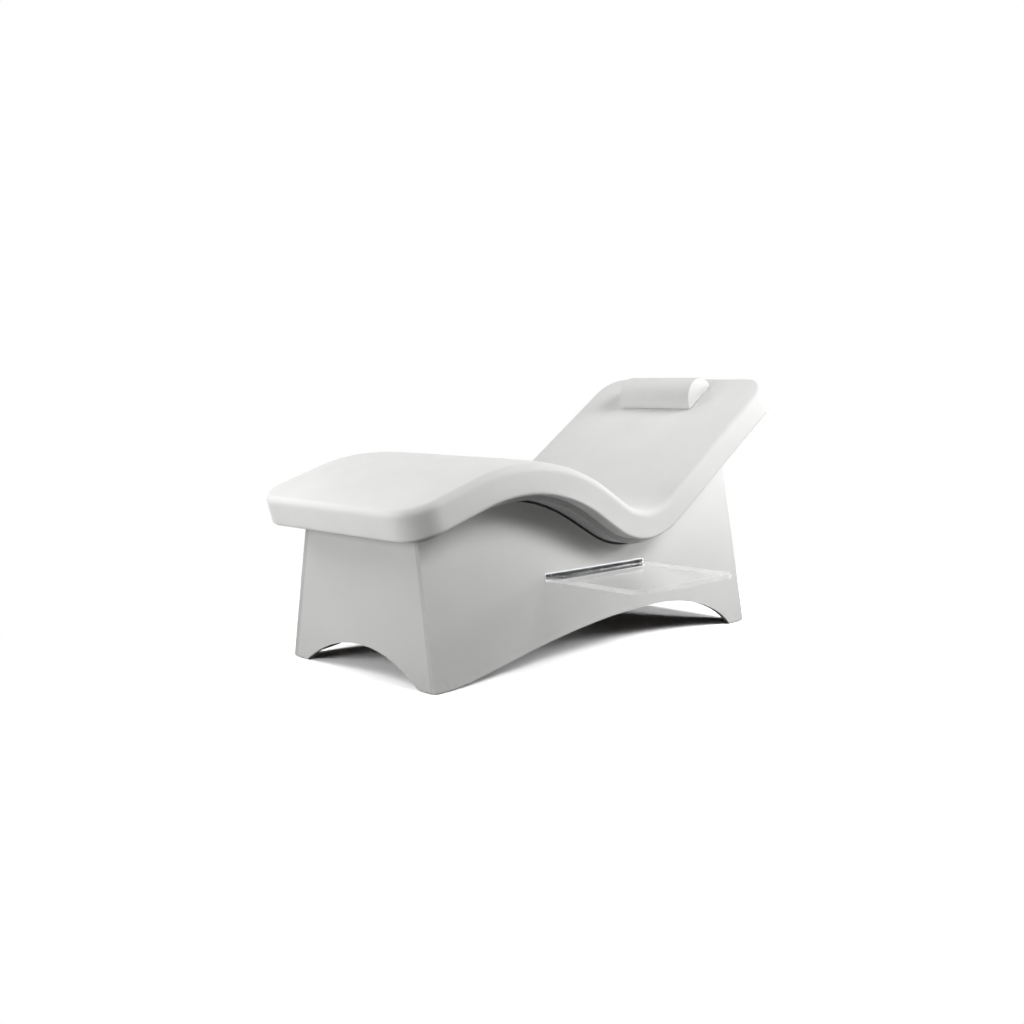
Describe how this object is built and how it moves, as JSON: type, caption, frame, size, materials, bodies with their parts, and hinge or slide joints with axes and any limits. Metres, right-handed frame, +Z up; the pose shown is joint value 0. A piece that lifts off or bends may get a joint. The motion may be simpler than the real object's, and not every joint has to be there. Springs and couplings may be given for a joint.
{
  "type": "spa relaxation lounger",
  "caption": "Wave-shaped spa relaxation lounger: padded mattress on a splayed white base with arched feet, a head bolster and a clear side tray that slides out.",
  "frame": {"origin": "on the floor, under the middle of the whole lounger with its tray pulled out", "axes": "+X runs from the foot end to the head end, +Z is up, and the tray comes out towards -Y"},
  "size_m": [1.8511, 1.1304, 0.9441],
  "materials": {
    "lacquered_board": "satin",
    "deck_board": "satin",
    "inner_board": "matte",
    "batten_wood": "matte",
    "bedding_rubber": "matte",
    "stop_rubber": "matte",
    "bracket_steel": "satin",
    "zinc_steel": "satin",
    "glide_plastic": "matte",
    "slot_chrome": "polished",
    "runner_plastic": "satin",
    "clear_acrylic": "gloss",
    "stop_bar_aluminium": "satin",
    "leatherette": "satin",
    "bolster_leatherette": "satin",
    "backing_mesh": "matte"
  },
  "bodies": {
    "base": {"side_panel_near": "lacquered_board", "side_panel_far": "lacquered_board", "foot_panel": "lacquered_board", "head_panel": "lacquered_board", "calf_rib": "inner_board", "tray_rib_foot": "inner_board", "tray_rib_head": "inner_board", "back_rib": "inner_board", "batten_foot_near": "batten_wood", "batten_foot_far": "batten_wood", "batten_calf_near": "batten_wood", "batten_calf_far": "batten_wood", "batten_tray_foot_near": "batten_wood", "batten_tray_foot_far": "batten_wood", "batten_tray_head_near": "batten_wood", "batten_tray_head_far": "batten_wood", "batten_back_near": "batten_wood", "batten_back_far": "batten_wood", "batten_head_near": "batten_wood", "batten_head_far": "batten_wood", "deck": "deck_board", "strip_near": "bedding_rubber", "strip_far": "bedding_rubber", "strip_foot": "bedding_rubber", "strip_calf": "bedding_rubber", "strip_tray_foot": "bedding_rubber", "strip_tray_head": "bedding_rubber", "strip_back": "bedding_rubber", "strip_head": "bedding_rubber", "bracket_calf_near": "bracket_steel", "bracket_calf_far": "bracket_steel", "bracket_back_near": "bracket_steel", "bracket_back_far": "bracket_steel", "bracket_screws": "zinc_steel", "deck_bolts": "zinc_steel", "tee_nuts": "zinc_steel", "panel_screws": "zinc_steel", "board_screws": "zinc_steel", "glide_foot_near": "glide_plastic", "glide_foot_far": "glide_plastic", "glide_head_near": "glide_plastic", "glide_head_far": "glide_plastic", "glide_screws": "zinc_steel", "slot_lining": "slot_chrome", "runner_web_foot": "runner_plastic", "runner_web_head": "runner_plastic", "runner_rail_foot": "runner_plastic", "runner_rail_head": "runner_plastic", "runner_cap_foot": "runner_plastic", "runner_cap_head": "runner_plastic", "rear_stops": "stop_rubber", "runner_screws": "zinc_steel", "mattress": "leatherette"},
    "tray": {"tray": "clear_acrylic", "tray_stop_bar": "stop_bar_aluminium", "stop_bar_screws": "zinc_steel"},
    "bolster": {"head_bolster": "bolster_leatherette", "bolster_backing": "backing_mesh"}
  },
  "joints": [
    {"name": "tray_slide", "type": "slide", "parent": "base", "child": "tray", "axis": [0, 1, 0], "range_m": [0, 0.39]},
    {"name": "bolster_slide", "type": "slide", "parent": "base", "child": "bolster", "axis": [0.8261, 0, 0.5635], "range_m": [-0.15, 0.05]}
  ]
}
